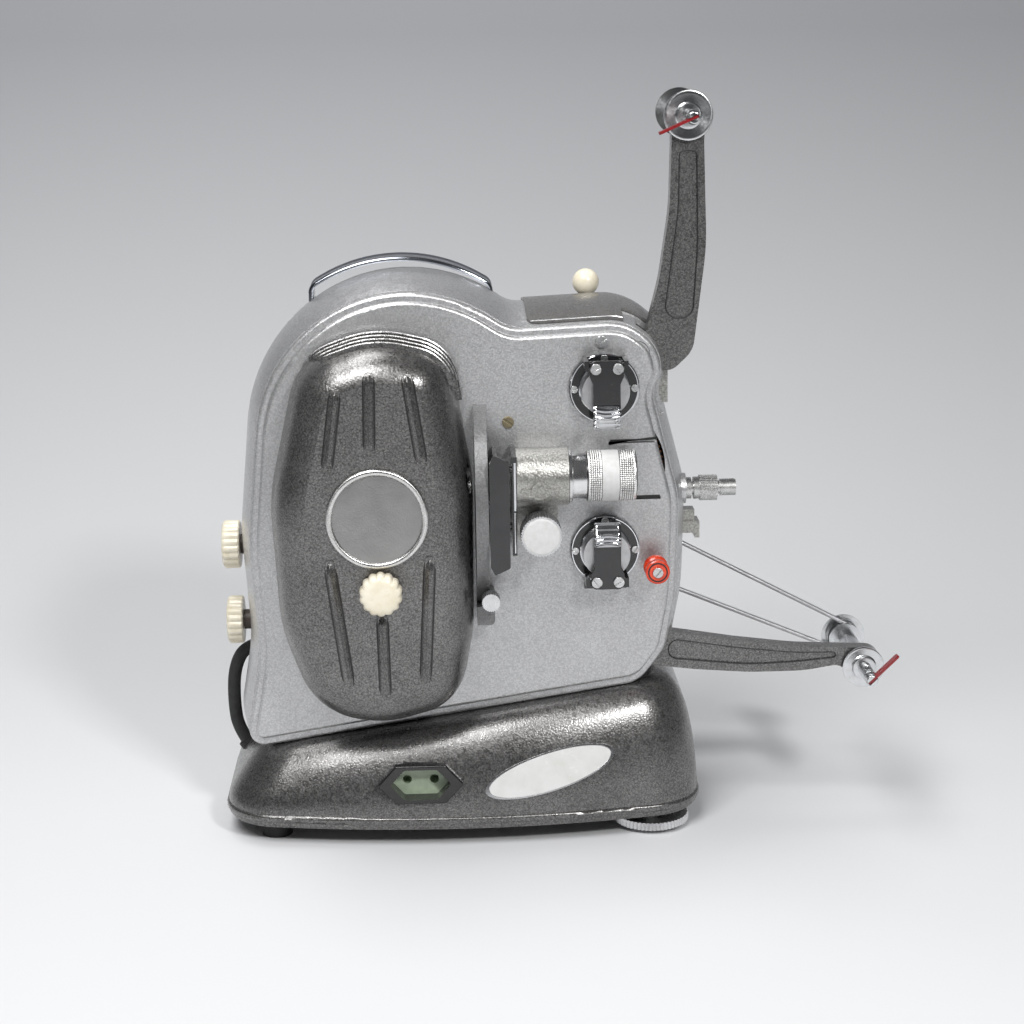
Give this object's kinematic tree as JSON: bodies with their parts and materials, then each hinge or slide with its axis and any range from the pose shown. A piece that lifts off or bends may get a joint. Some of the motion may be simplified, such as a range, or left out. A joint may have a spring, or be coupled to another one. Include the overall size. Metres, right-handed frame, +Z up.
{
  "type": "movie projector",
  "caption": "Small-gauge cine projector: sloping foot, cast case, domed lamp cover, sliding lens gate, film sprockets and two folding spool arms.",
  "frame": {"origin": "on the table plane under the middle of the foot casting, at the underside of the rubber feet", "axes": "+X is the direction of projection, -Y faces the operator and carries the film side, +Z is up"},
  "size_m": [0.4006, 0.1923, 0.4315],
  "materials": {
    "silver_hammer_enamel": "light silver-grey hammered enamel on a light-alloy casting",
    "grey_cover_enamel": "smooth grey enamel, lightly hammered",
    "dark_hammer_enamel": "dark grey hammered enamel with a coarse cell pattern",
    "holder_enamel": "greenish grey hammered enamel",
    "lid_enamel": "smooth dark grey satin enamel on pressed sheet",
    "chrome": "polished chrome plate",
    "turned_aluminium": "bright turned aluminium",
    "steel": "bright machined steel",
    "black_gloss": "gloss black enamel",
    "cream_bakelite": "moulded cream thermoset, satin to gloss",
    "red_roller": "moulded orange-red thermoset",
    "red_enamel": "dark red lacquer on steel",
    "black_bakelite": "gloss black thermoset",
    "green_insert": "pale green moulded insulator",
    "white_enamel": "white enamel with a thin bright edge, left bare",
    "black_rubber": "matte black rubber",
    "bulb_glass": "clear tubular lamp glass",
    "lens_glass": "coated optical glass",
    "motor_enamel": "dark varnished stator",
    "lamination_steel": "varnished laminations and coil",
    "gear_fibre": "brown fibre gear",
    "control_resin": "dark moulded resin"
  },
  "bodies": {
    "frame": {"body_shell": "silver_hammer_enamel", "front_plate": "silver_hammer_enamel", "back_cover": "silver_hammer_enamel", "case_screws": "steel", "face_screws": "steel", "base_shell": "dark_hammer_enamel", "base_plate": "dark_hammer_enamel", "rubber_feet": "black_rubber", "outlet_bezel": "black_bakelite", "outlet_insert": "green_insert", "name_plate": "white_enamel", "transformer": "lamination_steel", "lamp": "bulb_glass", "lamp_bracket": "steel", "condenser": "lens_glass", "shutter_cover": "grey_cover_enamel", "aperture_plate": "black_gloss", "sprocket_flanges": "black_gloss", "motor": "motor_enamel", "motor_belt": "black_rubber", "controls": "control_resin", "side_brackets": "steel", "link_cable": "black_rubber", "cable_grommets": "black_rubber"},
    "handle_body": {"handle": "chrome"},
    "lid_body": {"top_lid": "lid_enamel", "lid_knob": "cream_bakelite"},
    "lamp_cover_body": {"lamp_cover": "dark_hammer_enamel", "badge": "turned_aluminium"},
    "lamp_knob_body": {"lamp_knob": "cream_bakelite"},
    "catch_body": {"catch_knob": "turned_aluminium"},
    "claw_body": {"film_claw": "steel"},
    "carriage_body": {"pressure_plate": "black_gloss", "lens_holder": "holder_enamel"},
    "lens_body": {"lens_tube": "turned_aluminium", "lens_glass": "lens_glass"},
    "focus_body": {"focus_ring": "turned_aluminium"},
    "gate_knob_body": {"gate_knob": "turned_aluminium"},
    "drive_body": {"main_shaft": "steel", "shutter": "black_gloss", "shaft_coupling": "chrome"},
    "rotor_body": {"motor_rotor": "steel"},
    "upper_sprocket_body": {"upper_sprocket": "steel"},
    "lower_sprocket_body": {"lower_sprocket": "steel"},
    "idler_body": {"idler_gear": "gear_fibre"},
    "upper_shoe_body": {"upper_shoe": "black_gloss"},
    "lower_shoe_body": {"lower_shoe": "black_gloss"},
    "roller_body": {"film_roller": "red_roller"},
    "take_up_body": {"take_up_pulley": "steel"},
    "upper_arm_body": {"upper_arm": "dark_hammer_enamel"},
    "lower_arm_body": {"lower_arm": "dark_hammer_enamel", "spring_belt": "steel"},
    "upper_spindle_body": {"upper_spindle": "turned_aluminium"},
    "lower_spindle_body": {"lower_spindle": "turned_aluminium"},
    "upper_latch_body": {"upper_latch": "red_enamel"},
    "lower_latch_body": {"lower_latch": "red_enamel"},
    "speed_knob_body": {"speed_knob": "cream_bakelite"},
    "switch_knob_body": {"switch_knob": "cream_bakelite"},
    "foot_body": {"foot_pad": "black_rubber"},
    "foot_wheel_body": {"foot_wheel": "turned_aluminium"}
  },
  "joints": [
    {"name": "handle_lift", "type": "slide", "parent": "frame", "child": "handle_body", "axis": [0, 0, 1], "range_m": [0, 0.012]},
    {"name": "lid_lift", "type": "slide", "parent": "frame", "child": "lid_body", "axis": [0, 0, 1], "range_m": [0, 0.035]},
    {"name": "lamp_cover_slide", "type": "slide", "parent": "frame", "child": "lamp_cover_body", "axis": [0, -1, 0], "range_m": [0, 0.07]},
    {"name": "lamp_knob_turn", "type": "hinge", "parent": "lamp_cover_body", "child": "lamp_knob_body", "pos_m": [-0.0443, -0.1, 0.1618], "axis": [0, 1, 0], "continuous": true},
    {"name": "catch_turn", "type": "hinge", "parent": "frame", "child": "catch_body", "pos_m": [0.0176, -0.07, 0.1478], "axis": [0, 1, 0], "continuous": true},
    {"name": "claw_slide", "type": "slide", "parent": "frame", "child": "claw_body", "axis": [0, 0, 1], "range_m": [-0.0019, 0.0019]},
    {"name": "gate_knob_turn", "type": "hinge", "parent": "frame", "child": "gate_knob_body", "pos_m": [0.0462, -0.07, 0.1896], "axis": [0, 1, 0], "range_deg": [0, 90.1]},
    {"name": "gate_slide", "type": "slide", "parent": "frame", "child": "carriage_body", "axis": [1, 0, 0], "range_m": [0, 0.006]},
    {"name": "lens_slide", "type": "slide", "parent": "carriage_body", "child": "lens_body", "axis": [1, 0, 0], "range_m": [0, 0.00601]},
    {"name": "focus_turn", "type": "hinge", "parent": "lens_body", "child": "focus_body", "pos_m": [0.087, -0.07, 0.219], "axis": [1, 0, 0], "range_deg": [0, 270]},
    {"name": "drive_turn", "type": "hinge", "parent": "frame", "child": "drive_body", "pos_m": [0.085, -0.02, 0.199], "axis": [1, 0, 0], "continuous": true},
    {"name": "motor_turn", "type": "hinge", "parent": "frame", "child": "rotor_body", "pos_m": [-0.045, 0.01, 0.12], "axis": [1, 0, 0], "continuous": true},
    {"name": "upper_sprocket_turn", "type": "hinge", "parent": "frame", "child": "upper_sprocket_body", "pos_m": [0.085, -0.05, 0.26575], "axis": [0, 1, 0], "continuous": true},
    {"name": "lower_sprocket_turn", "type": "hinge", "parent": "frame", "child": "lower_sprocket_body", "pos_m": [0.085, -0.05, 0.17075], "axis": [0, 1, 0], "continuous": true},
    {"name": "idler_turn", "type": "hinge", "parent": "frame", "child": "idler_body", "pos_m": [0.085, -0.04, 0.21825], "axis": [0, 1, 0], "continuous": true},
    {"name": "upper_shoe_hinge", "type": "hinge", "parent": "frame", "child": "upper_shoe_body", "pos_m": [0.085, -0.0664, 0.28195], "axis": [1, 0, 0], "range_deg": [-35, 0]},
    {"name": "lower_shoe_hinge", "type": "hinge", "parent": "frame", "child": "lower_shoe_body", "pos_m": [0.085, -0.0664, 0.15455], "axis": [1, 0, 0], "range_deg": [0, 35]},
    {"name": "roller_turn", "type": "hinge", "parent": "frame", "child": "roller_body", "pos_m": [0.1136, -0.065, 0.1617], "axis": [0, 1, 0], "continuous": true},
    {"name": "take_up_turn", "type": "hinge", "parent": "frame", "child": "take_up_body", "pos_m": [0.10349, 0, 0.15625], "axis": [0, 1, 0], "continuous": true},
    {"name": "upper_arm_fold", "type": "hinge", "parent": "frame", "child": "upper_arm_body", "pos_m": [0.104, -0.032, 0.284], "axis": [0, 1, 0], "range_deg": [0, 60]},
    {"name": "lower_arm_fold", "type": "hinge", "parent": "frame", "child": "lower_arm_body", "pos_m": [0.10349, -0.032, 0.15625], "axis": [0, 1, 0], "range_deg": [-20, 0]},
    {"name": "upper_spindle_turn", "type": "hinge", "parent": "upper_arm_body", "child": "upper_spindle_body", "pos_m": [0.134, -0.03, 0.4175], "axis": [0, 1, 0], "continuous": true},
    {"name": "lower_spindle_turn", "type": "hinge", "parent": "lower_arm_body", "child": "lower_spindle_body", "pos_m": [0.2405, -0.03, 0.091], "axis": [0, 1, 0], "continuous": true},
    {"name": "upper_latch_fold", "type": "hinge", "parent": "upper_spindle_body", "child": "upper_latch_body", "pos_m": [0.134, -0.0642, 0.4175], "axis": [0.3987, 0, -0.9171], "range_deg": [-90, 0]},
    {"name": "lower_latch_fold", "type": "hinge", "parent": "lower_spindle_body", "child": "lower_latch_body", "pos_m": [0.2405, -0.0642, 0.091], "axis": [-0.6947, 0, 0.7193], "range_deg": [-90, 0]},
    {"name": "speed_knob_turn", "type": "hinge", "parent": "frame", "child": "speed_knob_body", "pos_m": [-0.135, 0, 0.1664], "axis": [1, 0, 0], "range_deg": [-150, 150]},
    {"name": "switch_knob_turn", "type": "hinge", "parent": "frame", "child": "switch_knob_body", "pos_m": [-0.135, 0, 0.1193], "axis": [1, 0, 0], "range_deg": [0, 90]},
    {"name": "foot_slide", "type": "slide", "parent": "frame", "child": "foot_body", "axis": [0, 0, -1], "range_m": [0, 0.00751]},
    {"name": "foot_wheel_turn", "type": "hinge", "parent": "foot_body", "child": "foot_wheel_body", "pos_m": [0.112, -0.048, 0.005], "axis": [0, 0, 1], "range_deg": [0, 2160]}
  ],
  "couplings": [
    {"joint": "gate_knob_turn", "follows": "gate_slide", "rad_per_m": 261.8},
    {"joint": "lens_slide", "follows": "focus_turn", "m_per_rad": 0.0012732},
    {"joint": "motor_turn", "follows": "drive_turn", "ratio": 2.5},
    {"joint": "lower_sprocket_turn", "follows": "drive_turn", "ratio": -0.05},
    {"joint": "upper_sprocket_turn", "follows": "drive_turn", "ratio": -0.05},
    {"joint": "idler_turn", "follows": "drive_turn", "ratio": 0.019853},
    {"joint": "take_up_turn", "follows": "drive_turn", "ratio": 0.0675},
    {"joint": "lower_spindle_turn", "follows": "drive_turn", "ratio": 0.12229},
    {"joint": "foot_slide", "follows": "foot_wheel_turn", "m_per_rad": 0.00019894}
  ]
}
